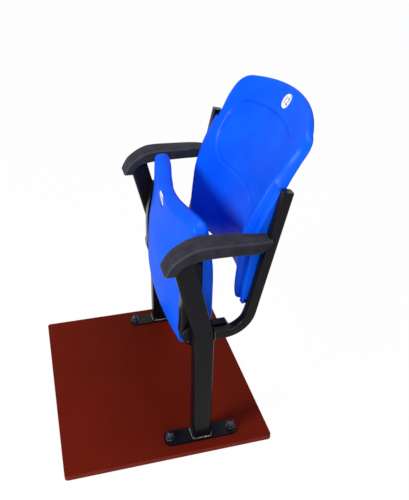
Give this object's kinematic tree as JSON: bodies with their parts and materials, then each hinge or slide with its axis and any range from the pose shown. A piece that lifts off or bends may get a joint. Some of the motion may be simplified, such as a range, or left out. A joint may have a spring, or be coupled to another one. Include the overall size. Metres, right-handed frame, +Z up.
{
  "type": "tip-up stadium seat",
  "caption": "Tip-up stadium seat with a tall contoured back, armrests and side stands, folded up and bolted to a deck board.",
  "frame": {"origin": "underside of the deck board, midway between the two side stands and under their legs", "axes": "+X to the sitter's left, -Y the way the sitter faces, +Z up"},
  "size_m": [0.638, 0.6879, 0.8781],
  "materials": {
    "deck": "satin",
    "steel_black": "satin",
    "zinc": "satin",
    "plastic_black": "gloss",
    "arm": "matte",
    "blue": "gloss",
    "white": "satin",
    "rubber": "matte",
    "bush": "matte"
  },
  "bodies": {
    "stand": {"deck_board": "deck", "foot_plate_left": "steel_black", "foot_plate_right": "steel_black", "leg_tube_left": "steel_black", "leg_tube_right": "steel_black", "back_tube_left": "steel_black", "back_tube_right": "steel_black", "arm_core_left": "steel_black", "arm_core_right": "steel_black", "hinge_plate_left": "steel_black", "hinge_plate_right": "steel_black", "back_bracket_upper_left": "steel_black", "back_bracket_upper_right": "steel_black", "back_bracket_lower_left": "steel_black", "back_bracket_lower_right": "steel_black", "anchor_stud_front_left": "zinc", "anchor_stud_front_right": "zinc", "anchor_nut_front_left": "zinc", "anchor_nut_front_right": "zinc", "anchor_washer_front_left": "zinc", "anchor_washer_front_right": "zinc", "anchor_stud_rear_left": "zinc", "anchor_stud_rear_right": "zinc", "anchor_nut_rear_left": "zinc", "anchor_nut_rear_right": "zinc", "anchor_washer_rear_left": "zinc", "anchor_washer_rear_right": "zinc", "pivot_pin_left": "zinc", "pivot_pin_right": "zinc", "stop_pin_left": "zinc", "stop_pin_right": "zinc", "return_spring_left": "zinc", "return_spring_right": "zinc", "back_bolt_upper_left": "zinc", "back_bolt_upper_right": "zinc", "back_bolt_lower_left": "zinc", "back_bolt_lower_right": "zinc", "tube_cap_left": "plastic_black", "tube_cap_right": "plastic_black", "armrest_left": "arm", "armrest_right": "arm", "back_shell": "blue", "back_number_disc": "white", "stop_sleeve_left": "rubber", "stop_sleeve_right": "rubber"},
    "seat": {"seat_shell": "blue", "seat_number_disc": "white", "hinge_housing_left": "plastic_black", "hinge_housing_right": "plastic_black", "pivot_bush_left": "bush", "pivot_bush_right": "bush", "housing_screw_lower_left": "zinc", "housing_screw_lower_right": "zinc", "housing_screw_upper_left": "zinc", "housing_screw_upper_right": "zinc"}
  },
  "joints": [
    {"name": "seat_tip", "type": "hinge", "parent": "stand", "child": "seat", "pos_m": [0, -0.0155, 0.349], "axis": [1, 0, 0], "range_deg": [0, 84], "stiffness_Nm_per_rad": 5, "springref_deg": -68.75}
  ]
}
